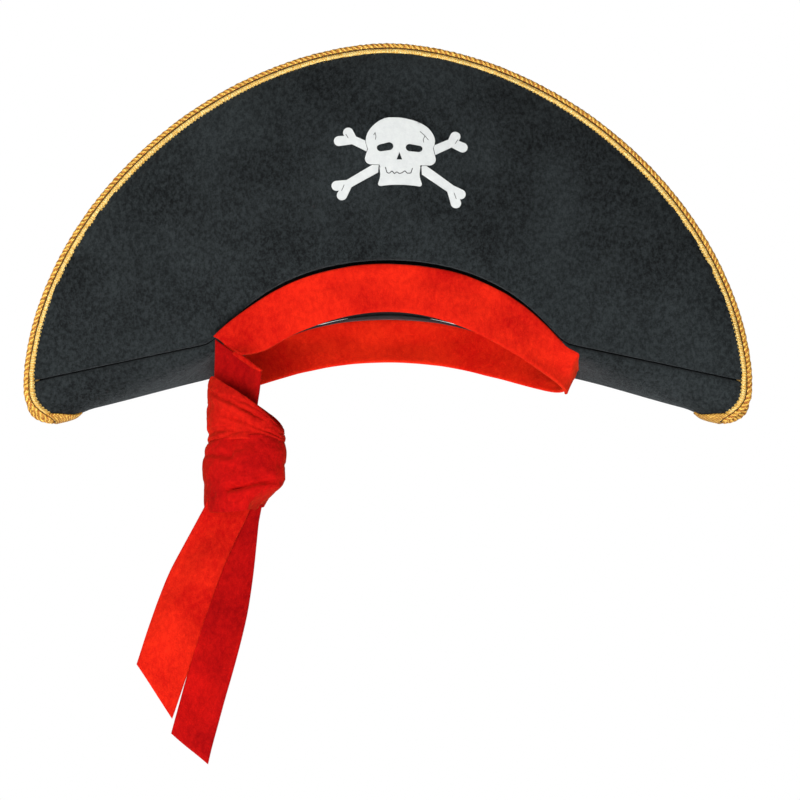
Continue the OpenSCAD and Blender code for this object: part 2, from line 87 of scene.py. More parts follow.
lamp("key", 0.5, 13, (-1.75, -0.7, 0.45), (1.0, 0.98, 0.95))
lamp("fill", 1.2, 3, (1.5, -1.4, 0.1))
lamp("under", 0.8, 31, (-0.15, -1.45, -1.0))
lamp("rim", 0.8, 14, (0.2, 1.4, 1.3))

world = bpy.data.worlds.new("studio")
scene.world = world
world.use_nodes = True
SKY = world.node_tree
soft_sky = SKY.nodes["Background"]
soft_sky.inputs["Color"].default_value = (1, 1, 1, 1)
soft_sky.inputs["Strength"].default_value = 0.28
clean_sky = SKY.nodes.new("ShaderNodeBackground")
clean_sky.inputs["Color"].default_value = (1, 1, 1, 1)
seen = SKY.nodes.new("ShaderNodeLightPath")
either = SKY.nodes.new("ShaderNodeMixShader")
SKY.links.new(seen.outputs["Is Camera Ray"], either.inputs[0])
SKY.links.new(soft_sky.outputs[0], either.inputs[1])
SKY.links.new(clean_sky.outputs[0], either.inputs[2])
SKY.links.new(either.outputs[0], SKY.nodes["World Output"].inputs["Surface"])

# ---------------------------------------------------------------- finishes


class Wire:
    """A value in a finish's nodes, so that its maths is written as Python sums."""

    def __init__(self, finish, socket):
        self.finish = finish
        self.socket = socket

    def sum_of(self, operation, first, second):
        return self.finish.node("ShaderNodeMath", {"operation": operation}, {0: first, 1: second})

    def __add__(self, other):
        return self.sum_of("ADD", self, other)

    __radd__ = __add__

    def __mul__(self, other):
        return self.sum_of("MULTIPLY", self, other)

    __rmul__ = __mul__

    def __sub__(self, other):
        return self.sum_of("SUBTRACT", self, other)

    def __rsub__(self, other):
        return self.sum_of("SUBTRACT", other, self)


class Finish:
    """A material built up from nodes around one Principled shader."""

    def __init__(self, name, **constants):
        self.material = bpy.data.materials.new(name)
        self.material.use_nodes = True
        self.tree = self.material.node_tree
        self.shader = self.tree.nodes["Principled BSDF"]
        for label, value in constants.items():
            self.shader.inputs[label.replace("_", " ")].default_value = value

    def join(self, socket, value):
        if isinstance(value, Wire):
            self.tree.links.new(value.socket, socket)
        elif isinstance(value, tuple) and len(value) == 3 and socket.type == "RGBA":
            socket.default_value = (*value, 1)
        else:
            socket.default_value = value

    def node(self, kind, settings=None, inputs=None, out=0):
        made = self.tree.nodes.new(kind)
        for label, value in (settings or {}).items():
            setattr(made, label, value)
        for label, value in (inputs or {}).items():
            self.join(made.inputs[label], value)
        return Wire(self, made.outputs[out])

    def place(self):
        return self.node("ShaderNodeTexCoord", out="Object")

    def cloth_map(self):
        return self.node("ShaderNodeUVMap", {"uv_map": "UVMap"})

    def stretch(self, where, scale, turn=(0, 0, 0)):
        return self.node("ShaderNodeMapping", inputs={"Vector": where, "Scale": scale, "Rotation": turn})

    def cloud(self, where, scale, detail=3.0, rough=0.55, warp=0.0):
        return self.node("ShaderNodeTexNoise", inputs={
            "Vector": where, "Scale": scale, "Detail": detail, "Roughness": rough, "Distortion": warp})

    def cells(self, where, scale):
        return self.node("ShaderNodeTexVoronoi", inputs={"Vector": where, "Scale": scale})

    def spread(self, value, low, high):
        """Stretches value so that low becomes 0 and high becomes 1."""
        return self.node("ShaderNodeMapRange", {"clamp": True}, {0: value, 1: low, 2: high, 3: 0.0, 4: 1.0})

    def blend(self, share, first, second):
        return self.node("ShaderNodeMix", {"data_type": "RGBA"}, {0: share, 6: first, 7: second}, out=2)

    def colour(self, value):
        self.join(self.shader.inputs["Base Color"], value)

    def rough(self, value):
        self.join(self.shader.inputs["Roughness"], value)

    def bump(self, height, strength, depth, under=None):
        inputs = {"Height": height, "Strength": strength, "Distance": depth}
        if under is not None:
            inputs["Normal"] = under
        made = self.node("ShaderNodeBump", inputs=inputs)
        self.join(self.shader.inputs["Normal"], made)
        return made


def black_velvet(name, dark, light, brushed):
    """Short black pile: cloudy patches where it was brushed, and a fine nap."""
    f = Finish(name, Sheen_Weight=0.10, Sheen_Roughness=0.45, Sheen_Tint=(0.70, 0.76, 0.80, 1),
               Specular_IOR_Level=0.10)
    where = f.place()
    patches = f.spread(f.cloud(where, 16, 3, 0.55), 0.36, 0.68)
    strokes = f.spread(f.cloud(f.stretch(where, (1.0, 1.0, 0.8), (0, 0.35, 0)), 400, 8, 0.80), 0.42, 0.60)
    nap = f.cloud(where, 1500, 3, 0.7)
    tone = patches * 0.45 + strokes * 0.75 * brushed
    f.colour(f.blend(tone * (nap * 1.2 + 0.3), dark, light))
    f.rough(0.92 - strokes * 0.12)
    f.bump(f.cloud(where, 900, 3, 0.7), 0.55, 0.0006, f.bump(strokes, 0.35, 0.0012))
    return f.material


def red_velvet(name, deep, bright):
    """Red pile that is lighter where it lies towards the light and darker in the brushed strokes."""
    f = Finish(name, Sheen_Weight=0.22, Sheen_Roughness=0.4, Sheen_Tint=(1.0, 0.16, 0.03, 1),
               Specular_IOR_Level=0.04)
    where = f.place()
    patches = f.spread(f.cloud(where, 26, 3, 0.55), 0.36, 0.66)
    strokes = f.spread(f.cloud(f.stretch(where, (1.0, 1.0, 0.7), (0, -0.4, 0)), 360, 6, 0.7), 0.38, 0.70)
    nap = f.cloud(where, 1500, 3, 0.7)
    f.colour(f.blend(patches * 0.45 + strokes * 0.4 + nap * 0.4 - 0.12, deep, bright))
    f.rough(0.9 - strokes * 0.1)
    f.bump(f.cloud(where, 1100, 3, 0.7), 0.5, 0.0005, f.bump(strokes, 0.3, 0.0010))
    return f.material


def gold_cloth(name, deep, bright, ribs, tilt, pucker=0.8):
    """Metallic woven ribbon: bright threads with painted shade in the puckers between them, across the
    ribbon's length, and painted glints.
    """
    f = Finish(name, Metallic=0.25)
    thread = f.cloth_map()
    rows = f.node("ShaderNodeTexWave", {"wave_type": "BANDS", "bands_direction": "X", "wave_profile": "SIN"},
                  {"Vector": f.stretch(thread, (1, 1, 1), (0, 0, tilt)), "Scale": ribs, "Distortion": 3.0,
                   "Detail": 2.0, "Detail Scale": 1.6}, out="Fac")
    # Cell spots that lighten the colour: painted glints on the threads.
    painted_glint = f.cells(f.place(), 1500)
    crumple = f.cloud(f.place(), 420, 4, 0.7, 0.8)
    # The tone is painted shade and painted glint: darker in the puckers between the rows and in the hollows of
    # the crumples, where shade falls, lighter at the glint spots.
    tone = f.spread(rows * 0.5 * pucker + crumple * 0.75 - painted_glint * 0.25, 0.20, 0.66)
    f.colour(f.blend(tone, deep, bright))
    f.rough(0.52 - tone * 0.22)
    f.bump(crumple, 0.75, 0.0012, f.bump(rows, pucker, 0.0009))
    return f.material


def plain_cloth(name, dark, light, weave):
    """Thin woven lining or tape."""
    f = Finish(name, Sheen_Weight=0.1, Specular_IOR_Level=0.2)
    where = f.place()
    rows, columns = [f.node("ShaderNodeTexWave", {"bands_direction": way}, {"Vector": where, "Scale": weave},
                            out="Fac") for way in "XZ"]
    uneven = f.cloud(where, 60, 3)
    f.colour(f.blend(uneven * 0.6 + rows * columns * 0.4, dark, light))
    f.rough(0.8 - uneven * 0.15)
    f.bump(rows * columns, 0.3, 0.0003)
    return f.material


def vinyl_finish(name, base, shade):
    """White heat-pressed vinyl, faintly mottled by the pile under it."""
    f = Finish(name, Specular_IOR_Level=0.35)
    where = f.place()
    mottle = f.spread(f.cloud(where, 260, 4, 0.6), 0.3, 0.75)
    f.colour(f.blend(mottle, base, shade))
    f.rough(0.55 - mottle * 0.12)
    f.bump(f.cloud(where, 700, 3, 0.6), 0.35, 0.0004)
    return f.material


OUTER_VELVET = black_velvet("black velvet", (0.0026, 0.0034, 0.0037), (0.026, 0.032, 0.034), 1.0)
INNER_VELVET = black_velvet("black velvet inside", (0.0028, 0.0034, 0.0040), (0.020, 0.024, 0.027), 0.6)
RED = red_velvet("red velvet", (0.38, 0.0012, 0.0020), (0.80, 0.022, 0.006))
# A lighter copy of the red velvet: painted light on the sash's back length, which lies in shade inside the
# hat.
RED_LIT = red_velvet("red velvet, painted light for the back length", (0.62, 0.003, 0.0025), (1.0, 0.032, 0.007))
# A darker copy of the red velvet: painted shade on the drop strip under the sash's fold and on the rear tail;
# on the knot's main wrap it stands for the darker lie of the pile.
RED_SHADE = red_velvet("red velvet, painted shade and darker pile", (0.24, 0.0006, 0.0020), (0.60, 0.006, 0.004))
RED_KNOT = red_velvet("red velvet, knotted", (0.28, 0.0010, 0.0020), (0.68, 0.013, 0.005))
RED_THREAD = plain_cloth("red thread", (0.30, 0.01, 0.01), (0.60, 0.03, 0.02), 1200)
# The gold finishes carry painted shade in their puckers and painted glints, from gold_cloth.
GOLD_BEAD = gold_cloth("gold piping", (0.40, 0.11, 0.006), (1.0, 0.60, 0.10), 120, 0.7)
GOLD_TAPE = gold_cloth("gold tape", (0.72, 0.36, 0.03), (1.0, 0.92, 0.42), 170, 0.1, 0.35)
# Dark brown for the cord in the groove between piping and tape: painted shade where the groove lies in shade.
GROOVE_SHADE = plain_cloth("dark brown painted shade in the groove", (0.035, 0.012, 0.001), (0.11, 0.045, 0.004), 900)
GOLD_THREAD = gold_cloth("gold stitching", (0.55, 0.34, 0.06), (1.0, 0.86, 0.42), 500, 0.0)
LINING = plain_cloth("black lining", (0.004, 0.004, 0.005), (0.020, 0.021, 0.024), 900)
TAPE = plain_cloth("black seam tape", (0.006, 0.006, 0.007), (0.030, 0.031, 0.034), 600)
SATIN = plain_cloth("white satin label", (0.62, 0.62, 0.60), (0.80, 0.80, 0.78), 800)
VINYL = vinyl_finish("white vinyl", (0.66, 0.68, 0.67), (0.58, 0.60, 0.60))
PRINT = plain_cloth("black print line", (0.004, 0.004, 0.005), (0.03, 0.03, 0.032), 500)

# ---------------------------------------------------------------- mesh helpers


def lerp(a, b, t):
    return a + (b - a) * t


def ease(t):
    t = min(1.0, max(0.0, t))
    return t * t * (3 - 2 * t)


def signed_power(value, power):
    return math.copysign(abs(value) ** power, value)


def soft(point, size, depth, seed=0.0):
    """Smooth unevenness, in metres, with bumps about size across."""
    return noise.noise(Vector((point[0] / size + seed, point[1] / size, point[2] / size))) * depth


def grid(across, along, place):
    """A sheet of quads whose corner (i, j) goes to place(i, j), with a cloth map in metres along it."""
    shape = bmesh.new()
    layer = shape.loops.layers.uv.new("UVMap")
    bmesh.ops.create_grid(shape, x_segments=across, y_segments=along, size=0.5)
    station = {v: (round((v.co.x + 0.5) * across), round((v.co.y + 0.5) * along)) for v in shape.verts}
    for v, (i, j) in station.items():
        v.co = place(i, j)
    for face in shape.faces:
        for loop in face.loops:
            loop[layer].uv = (station[loop.vert][1] / max(along, 1), station[loop.vert][0] / max(across, 1))
    return shape


def cloth_scale(shape, length, width):
    """Turns the map's shares into metres."""
    layer = shape.loops.layers.uv.active
    for face in shape.faces:
        for loop in face.loops:
            loop[layer].uv = (loop[layer].uv[0] * length, loop[layer].uv[1] * width)


def piece(name, shape, finish, smooth=True):
    """Closes the seams of a shape and makes it an object."""
    bmesh.ops.remove_doubles(shape, verts=shape.verts, dist=2e-6)
    bmesh.ops.dissolve_degenerate(shape, dist=1e-7, edges=shape.edges)
    bmesh.ops.recalc_face_normals(shape, faces=shape.faces)
    mesh = bpy.data.meshes.new(name)
    shape.to_mesh(mesh)
    shape.free()
    mesh.materials.append(finish)
    if smooth:
        mesh.shade_smooth()
    made = bpy.data.objects.new(name, mesh)
    scene.collection.objects.link(made)
    return made


CORD_R = 0.002


def round_section(steps, turns, edge):
    """Stations round a flat band with round edges: how far across it, and which side from 1 to -1."""
    angles = [math.pi * k / turns for k in range(1, turns)]
    front = [(lerp(edge, 1 - edge, k / steps), 1.0) for k in range(steps + 1)]
    right = [(1 - edge + edge * math.sin(a), math.cos(a)) for a in angles]
    left = [(edge - edge * math.sin(a), -math.cos(a)) for a in angles]
    return front + right + [(w, -1.0) for w, _ in reversed(front)] + left + [front[0]]


def round_ends(steps, turns, edge):
    """Stations along a band whose thickness runs out in a rounded end: how far along, and the share of it."""
    angles = [math.pi * k / 2 / turns for k in range(turns)]
    start = [(edge * (1 - math.cos(a)), math.sin(a)) for a in angles]
    middle = [(lerp(edge, 1 - edge, k / steps), 1.0) for k in range(steps + 1)]
    return start + middle + [(1 - b, s) for b, s in reversed(start)]


def band(name, finish, middle, half, steps, across=12, edge=0.03, end=0.01, size=(1, 1), turns=4):
    """A closed band of cloth: middle(b, w) is b along it and w across, half(b, w) its half thickness there."""
    section = round_section(across, turns, edge)
    length = round_ends(steps, 3, end)
    tiny = 1e-3

    def outward(b, w):
        b, w = min(1 - tiny, max(tiny, b)), min(1 - tiny, max(tiny, w))
        run = middle(b + tiny, w) - middle(b - tiny, w)
        side = middle(b, w + tiny) - middle(b, w - tiny)
        return run.cross(side).normalized()

    store = {}

    def point(i, j):
        w, h = section[i]
        b, share = length[j]
        key = (round(w, 6), j)
        if key not in store:
            store[key] = (middle(b, w), outward(b, w), half(b, w))
        centre, normal, thick = store[key]
        return centre + normal * (thick * h * share)

    shape = grid(len(section) - 1, len(length) - 1, point)
    cloth_scale(shape, *size)
    return piece(name, shape, finish)


def tube(name, finish, path, radius, sides=8):
    """A round cord along a line of points, closed at both ends; radius may be a function of the point."""
    total = len(path) - 1
    frames = []
    normal = None
    for k, point in enumerate(path):
        run = (path[min(k + 1, total)] - path[max(k - 1, 0)]).normalized()
        if normal is None:
            normal = run.orthogonal().normalized()
        normal = (normal - run * normal.dot(run)).normalized()
        frames.append((point, normal, run.cross(normal)))

    def point(i, j):
        centre, n, s = frames[max(0, min(total, j - 1))]
        if j == 0 or j == total + 2:
            return centre.copy()
        r = radius(j - 1) if callable(radius) else radius
        a = 2 * math.pi * i / sides
        return centre + (n * math.cos(a) + s * math.sin(a)) * r

    shape = grid(sides, total + 2, point)
    length = sum((path[k + 1] - path[k]).length for k in range(total))
    cloth_scale(shape, length, 2 * math.pi * CORD_R)
    return piece(name, shape, finish)


def evenly(points, step):
    """The same line with points a step apart."""
    lengths = [0.0]
    for a, b in zip(points, points[1:]):
        lengths.append(lengths[-1] + (b - a).length)
    count = max(2, round(lengths[-1] / step))
    made, k = [], 0
    for n in range(count + 1):
        want = lengths[-1] * n / count
        while k < len(points) - 2 and lengths[k + 1] < want:
            k += 1
        share = (want - lengths[k]) / max(lengths[k + 1] - lengths[k], 1e-9)
        made.append(points[k].lerp(points[k + 1], share))
    return made


FILLING_FRAMES = 20


def swell(target, held, pressure, cap, loose=0.0):
    """Presses a padded piece out as its filling does, by a short cloth simulation, by cap at most."""
    rest = [v.co.copy() for v in target.data.vertices]
    group = target.vertex_groups.new(name="held")
    group.add([k for k, p in enumerate(rest) if held(p)], 1.0, "REPLACE")
    cloth = target.modifiers.new("filling", "CLOTH")
    cloth.settings.quality = 4
    cloth.settings.mass = 0.25
    cloth.settings.tension_stiffness = 20
    cloth.settings.compression_stiffness = 20
    cloth.settings.shear_stiffness = 8
    cloth.settings.bending_stiffness = 1.2
    cloth.settings.use_pressure = True
    cloth.settings.uniform_pressure_force = pressure
    cloth.settings.vertex_group_mass = "held"
    cloth.settings.pin_stiffness = 1.0
    cloth.settings.shrink_min = -loose
    cloth.settings.effector_weights.gravity = 0
    cloth.point_cache.frame_start, cloth.point_cache.frame_end = 1, FILLING_FRAMES
    for k in range(1, FILLING_FRAMES + 1):
        scene.frame_set(k)
    grown = target.evaluated_get(bpy.context.evaluated_depsgraph_get())
    places = [v.co.copy() for v in grown.data.vertices]
    target.modifiers.remove(cloth)
    target.vertex_groups.remove(group)
    for v, old, new in zip(target.data.vertices, rest, places):
        move = new - old
        far = move.length
        if far > 1e-9:
            v.co = old + move * (cap * math.tanh(far / cap) / far)
    scene.frame_set(1)


# ---------------------------------------------------------------- brim

BRIM_W, BRIM_TOP, TIP_DROP, WIDE_DROP = 0.482, 0.216, 0.026, 0.001
FLAP_REACH, TIP_GAP, TIP_CURL, FLAP_BOW = 0.075, 0.013, 0.016, 0.004
FULLNESS = 1.8
OUTLINE = 2 / FULLNESS
FULL, THIN = 0.00325, 0.0015
HALF_W = BRIM_W / 2
INSET = 0.00465
OPEN_A, OPEN_B = 0.120, 0.060
FRONT_Z, SIDE_Z = 0.067, 0.023
FOOT_Y = OPEN_B + 0.0015
SLOPE = (FRONT_Z + 0.0005 + WIDE_DROP) / (FOOT_Y - TIP_GAP)
FOOT_GAP = 0.001
WING_X, WING_Y = 0.100, 0.031


def foot_y(x):
    """How far the flap's foot is from the hat's middle plane: round by the opening, straight to the tip."""
    x = abs(x)
    rounded = FOOT_Y * max(1 - (x / (OPEN_A + 0.005)) ** 2.2, 0) ** 0.5
    wing = WING_Y - (x - WING_X) * (WING_Y - TIP_GAP) / (HALF_W - WING_X)
    return (rounded ** 8 + max(wing, 0) ** 8) ** 0.125


def fold_z(y):
    """The height of the flap's slanting foot at a distance from the hat's middle plane."""
    return SLOPE * (y - TIP_GAP) - WIDE_DROP


def foot(u):
    x = u * (HALF_W - INSET - 0.0004)
    y = foot_y(x)
    return Vector((x, -y, fold_z(y)))


def rim(u, inset):
    """The front flap's outline, u = -1 to 1 from the left tip to the right, set in from the gold edge."""
    a = math.radians(90 - 88.5 * u)
    height = math.sin(a) ** OUTLINE
    rise = (BRIM_TOP - inset + WIDE_DROP) * height
    return Vector(((HALF_W - inset) * signed_power(math.cos(a), OUTLINE),
                   -(TIP_GAP + (FLAP_REACH - TIP_GAP) * rise / (BRIM_TOP + WIDE_DROP)), rise - WIDE_DROP))


def flap(u, t, uneven=1.0):
    """The front flap's middle surface, u along it and t from its foot to its rim."""
    low, high = foot(u), rim(u, INSET)
    low = low + (high - low).normalized() * min(FOOT_GAP, (high - low).length / 3)
    made = low.lerp(high, t)
    made.y -= FLAP_BOW * math.sin(math.pi * t) * (1 - u * u)
    fade = math.sin(math.pi * min(1, t * 1.15)) if t < 0.87 else 0.0
    made.y += uneven * soft(made, 0.085, 0.0035, 3.1) * max(fade, 0) * (1 - abs(u) ** 3)
    return made


def roll(p, q, start=OPEN_A + 0.0017, crease_start=0.112):
    """The brim's underside at one wing, p from 0 at the opening to 1 at the tip, q from -1 in front to 1."""
    tip_x = HALF_W - INSET
    crease_x = lerp(crease_start, tip_x, p)
    inner_x = lerp(start, tip_x - TIP_CURL, p)
    low_z = lerp(SIDE_Z - 0.010, INSET - TIP_DROP, p)
    low_z += 0.0048 * ease((1 - p) / 0.24) - 0.0025 * math.sin(math.pi * p)
    y = foot_y(crease_x)
    z = fold_z(y)
    cosine = max(0.0, math.cos(math.pi / 2 * q))
    return Vector((inner_x + (crease_x - inner_x) * (1 - cosine ** (2 + 2 * p)),
                   y * math.sin(math.pi / 2 * q), low_z + (z - low_z) * (1 - cosine)))


def half_thick(distance, run_out):
    """Half the brim's thickness, which runs out to the thin sewn edge over the last stretch."""
    return THIN + (FULL - THIN) * ease(distance / run_out)


def flap_half(t):
    return half_thick(1 - t, 0.10)


def mirrored(point, x=False, y=False):
    """The same point on the hat's other side, or at its back."""
    return Vector((-point.x if x else point.x, -point.y if y else point.y, point.z))


def brim_flap(name, back):
    """A turned-up flap of the brim: velvet, foam and inner velvet as one padded shell."""
    def middle(b, w):
        return mirrored(flap(lerp(-1, 1, b), w), y=back)

    def half(b, w):
        return (-1 if back else 1) * flap_half(w)

    made = band(name, OUTER_VELVET, middle, half, steps=104, across=30, edge=0.014, end=0.012)
    made.data.materials.append(INNER_VELVET)
    return made


def held_flap(point):
    """The flap's sewn edge, its foot and its tips stay where they are while its filling presses it out."""
    u = min(1, abs(point.x) / HALF_W)
    outline = BRIM_TOP * (1 - u ** FULLNESS) ** (1 / FULLNESS)
    return point.z > outline - 0.014 or point.z < fold_z(abs(point.y)) + 0.004 or abs(point.x) > HALF_W - 0.02


def held_roll(point):
    """The wing's crease, its tip and its start at the opening."""
    return point.z > -0.004 or abs(point.x) > 0.222 or abs(point.x) < 0.126


def bends(target, back):
    """Bakes the piece's placement into its mesh."""
    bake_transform(target)


def mark_inside(target, back):
    """The inner faces of a flap take the inside velvet."""
    for face in target.data.polygons:
        outside = face.normal.y > 0 if back else face.normal.y < 0
        face.material_index = 0 if outside else 1


front_flap = brim_flap("brim_front", False)
back_flap = brim_flap("brim_back", True)
for one in (front_flap, back_flap):
    swell(one, held_flap, 2.5, 0.0022, 0.01)


def tree_of(shape):
    """A shape's faces, ready for asking where a line meets them."""
    tree = BVHTree.FromBMesh(shape)
    shape.free()
    return tree


front_shape = bmesh.new()
front_shape.from_mesh(front_flap.data)
FRONT_FACE = tree_of(front_shape)


def on_flap(point, lift):
    """The point on the front flap's outer face in front of a point, raised by lift, and the face's normal."""
    start = point - Vector((0, 0.05, 0))
    hit, normal, _, _ = FRONT_FACE.ray_cast(start, Vector((0, 1, 0)))
    if hit is None:
        hit, normal, _, _ = FRONT_FACE.find_nearest(point)
    return hit + normal * lift, normal


def wing_roll(name, left):
    """The brim's underside at one wing; by the knot it starts nearer to the middle, where the strip drops."""
    def middle(b, w):
        q = lerp(-1, 1, b)
        return mirrored(roll(w, q, 0.1150, 0.100), x=True) if left else roll(w, q)

    def half(b, w):
        return (1 if left else -1) * half_thick(1 - w, 0.12)

    return band(name, OUTER_VELVET, middle, half, steps=30, across=26, edge=0.02, end=0.045)


left_roll = wing_roll("brim_left_roll", True)
right_roll = wing_roll("brim_right_roll", False)
for one in (left_roll, right_roll):
    swell(one, held_roll, 2.0, 0.0015)

# ---------------------------------------------------------------- gold edge

BEAD_R, BEAD_IN = 0.0019, 0.0021
TAPE_IN, TAPE_OUT, STITCH_IN = 0.0041, 0.0074, 0.0077


def flap_normal(u, t):
    u = max(-0.96, min(0.96, u))
    t = min(0.97, t)
    across = flap(u + 0.01, t, 0.0) - flap(u - 0.01, t, 0.0)
    up = flap(u, t + 0.01, 0.0) - flap(u, t - 0.01, 0.0)
    return across.cross(up).normalized()


def roll_normal(p, q):
    q = max(-0.97, min(0.97, q))
    along = roll(p, q + 0.01) - roll(p, q - 0.01)
    outward = roll(p, q) - roll(p - 0.02, q)
    return along.cross(outward).normalized()


def edge_stations():
    """Places along the brim's edge, from the right wing's underside to the left's: kind, where, wing."""
    under = [-k / 22 for k in range(1, 23)]
    over = [1 - 2 * k / 400 for k in range(401)]
    right, left = [("tip", q, 1) for q in under], [("tip", q, -1) for q in reversed(under)]
    return right + [("rim", u, 1) for u in over] + left


def edge_point(station, inset, side, lift):
    """A point on the front half of the edge, set in from its outline, on the outer (1) or inner (-1) face."""
    kind, value, wing = station
    if kind == "rim":
        base = rim(value, inset)
        span = (rim(value, INSET) - foot(value)).length
        t = 1 - (inset - INSET) / max(span, 0.02)
        thick = flap_half(min(1, t))
        normal = flap_normal(value, 0.96)
        if t < 1:
            base.y -= FLAP_BOW * math.sin(math.pi * t) * (1 - value * value)
        return base + normal * (side * (thick + lift))
    out = (roll(1, value) - roll(0.96, value)).normalized()
    normal = roll_normal(0.98, value)
    thick = half_thick(inset - INSET, 0.014)
    base = roll(1, value) + out * (INSET - inset) + normal * (side * (thick + lift))
    return mirrored(base, x=wing < 0)


def edge_line(inset, back, side=0, lift=0.0, step=0.0012):
    """An even line along the edge, from the right wing's underside to the left one's."""
    points = []
    for station in edge_stations():
        if side:
            points.append(edge_point(station, inset, side, lift))
        else:
            points.append(edge_point(station, inset, 1, 0).lerp(edge_point(station, inset, -1, 0), 0.5))
    for _ in range(6):
        inner = [a.lerp(c, 0.5).lerp(b, 0.5) for a, b, c in zip(points, points[1:], points[2:])]
        points = [points[0]] + inner + [points[-1]]
    return evenly([mirrored(p, y=back) for p in points], step)


def gold_bead(name, back):
    """Ribbed gold piping round the brim's edge, a little thicker at the tips."""
    path = edge_line(BEAD_IN, back, step=0.0011)

    def radius(k):
        p = path[max(0, min(len(path) - 1, k))]
        near_tip = ease((0.07 - p.z) / 0.09)
        twist = 0.09 * math.sin(k * 1.55) + 0.12 * noise.noise(p * 300)
        return BEAD_R * (1.06 + 0.14 * near_tip + twist)

    return tube(name, GOLD_BEAD, path, radius, sides=10)


def gold_tape(name, back, side):
    """Gold ribbon stitched down on one face of the edge, puckered along its length."""
    columns = 6
    rows = [edge_line(lerp(TAPE_IN, TAPE_OUT, w / columns), back, side) for w in range(columns + 1)]
    steps = min(len(row) for row in rows) - 1
    lines = [[row[round(k * (len(row) - 1) / steps)] for k in range(steps + 1)] for row in rows]

    def station(i, j):
        i %= 2 * columns + 2
        w = i if i <= columns else 2 * columns + 1 - i
        here = lines[w][j]
        run = (lines[w][min(j + 1, steps)] - lines[w][max(j - 1, 0)]).normalized()
        across = (lines[min(w + 1, columns)][j] - lines[max(w - 1, 0)][j]).normalized()
        up = run.cross(across).normalized()
        if up.dot(edge_face(here, back, side)) < 0:
            up = -up
        if i > columns and 0 < j < steps:
            return here - up * 0.0005
        share = w / columns
        near_tip = ease((0.05 - here.z) / 0.07)
        wrinkle = 0.00010 * math.sin(j * 1.35 + 2.2 * share + 5 * noise.noise(Vector((j * 0.05, share, 5.0))))
        wrinkle += 0.00035 * noise.noise(Vector((j * 0.12, share * 2, 1.0)))
        return here + up * (0.0004 + (0.0008 + 0.0005 * near_tip) * math.sin(math.pi * share) + wrinkle)

    shape = grid(2 * columns + 2, steps, station)
    cloth_scale(shape, 0.86, 0.008)
    return piece(name, shape, GOLD_TAPE)


def edge_face(point, back, side):
    """Roughly which way a face of the edge looks at a point: outwards on a flap, downwards under a wing."""
    low = ease((0.004 - point.z) / 0.02)
    return Vector((0, (1 if back else -1) * side * (1 - low), -side * low))


def groove_shade_cord(name, back, side):
    """Dark brown cord sunk between the piping and the tape: painted shade in the groove between them."""
    return tube(name, GROOVE_SHADE, edge_line(TAPE_IN, back, side, 0.0001, 0.003), 0.00065, sides=6)


def stitch_line(name, back):
    """Short gold stitches along the tape's inner edge, none where it turns over a wing's crease."""
    shape = bmesh.new()
    shape.loops.layers.uv.new("UVMap")
    path = edge_line(STITCH_IN, back, 1, 0.0003, 0.0026)
    for here, ahead in zip(path, path[1:]):
        run = (ahead - here).normalized()
        if -0.008 < here.z < 0.012 and abs(here.x) < HALF_W - TAPE_OUT - 0.0009:
            continue
        normal = edge_face(here, back, 1)
        side = normal.cross(run).normalized()
        turn = Matrix((run, side, run.cross(side))).transposed().to_4x4()
        turn.translation = here
        bmesh.ops.create_uvsphere(shape, u_segments=6, v_segments=4, radius=1.0,
                                  matrix=turn @ Matrix.Diagonal((0.0010, 0.00040, 0.00040, 1)))
    return piece(name, shape, GOLD_THREAD)


def tip_fold(name, left):
    """The ribbon's fold under a wing's tip, which runs out to a point along the wing's lowest line."""
    def middle(b, w):
        p, q = lerp(0.84, 1.0, b), lerp(-0.32, 0.32, w) * ease(0.1 + 0.9 * b)
        lift = half_thick(1 - p, 0.12) + 0.0006 * ease(b / 0.3) + 0.0006
        return mirrored(roll(p, q) + roll_normal(min(p, 0.98), q) * lift, x=left)

    return band(name, GOLD_BEAD, middle, lambda b, w: 0.0007, steps=30, across=12, edge=0.05, end=0.02,
                size=(0.05, 0.03))


gold = {}
for back in (False, True):
    side = "back" if back else "front"
    gold[side] = [
        gold_bead(f"gold_piping_{side}", back),
        gold_tape(f"gold_tape_{side}_outer", back, 1), gold_tape(f"gold_tape_{side}_inner", back, -1),
        groove_shade_cord(f"groove_shade_{side}_outer", back, 1), groove_shade_cord(f"groove_shade_{side}_inner", back, -1),
        stitch_line(f"gold_stitches_{side}", back)]

tip_folds = [tip_fold("gold_fold_left_tip", True), tip_fold("gold_fold_right_tip", False)]

for target, side, back in ((front_flap, "front", False), (back_flap, "back", True)):
    mark_inside(target, back)
    bends(target, back)
    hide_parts(f"brim_{side}_velvet", f"brim_{side}_foam", f"brim_{side}_lining")
    for one in gold[side]:
        bends(one, back)
    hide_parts(f"gold_bead_{side}")
    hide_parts(f"gold_tape_{side}")
for one, side in ((left_roll, "left"), (right_roll, "right")):
    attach(one, "root")
    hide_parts(f"brim_{side}_velvet", f"brim_{side}_foam", f"brim_{side}_lining")
    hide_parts(f"gold_bead_{side}_tip")
    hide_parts(f"gold_tape_{side}_tip")

for one in tip_folds:
    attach(one, "root")

# ---------------------------------------------------------------- crown

CROWN_A, CROWN_B, CROWN_TOP = 0.1149, 0.0509, 0.150
CROWN_SIDE_TOP = SIDE_Z + 0.026


def seam_z(s):
    """The height of the seam round the opening, for s = 0 at the hat's sides to 1 at its front and back."""
    return SIDE_Z + (FRONT_Z - SIDE_Z) * abs(s) ** 2.2


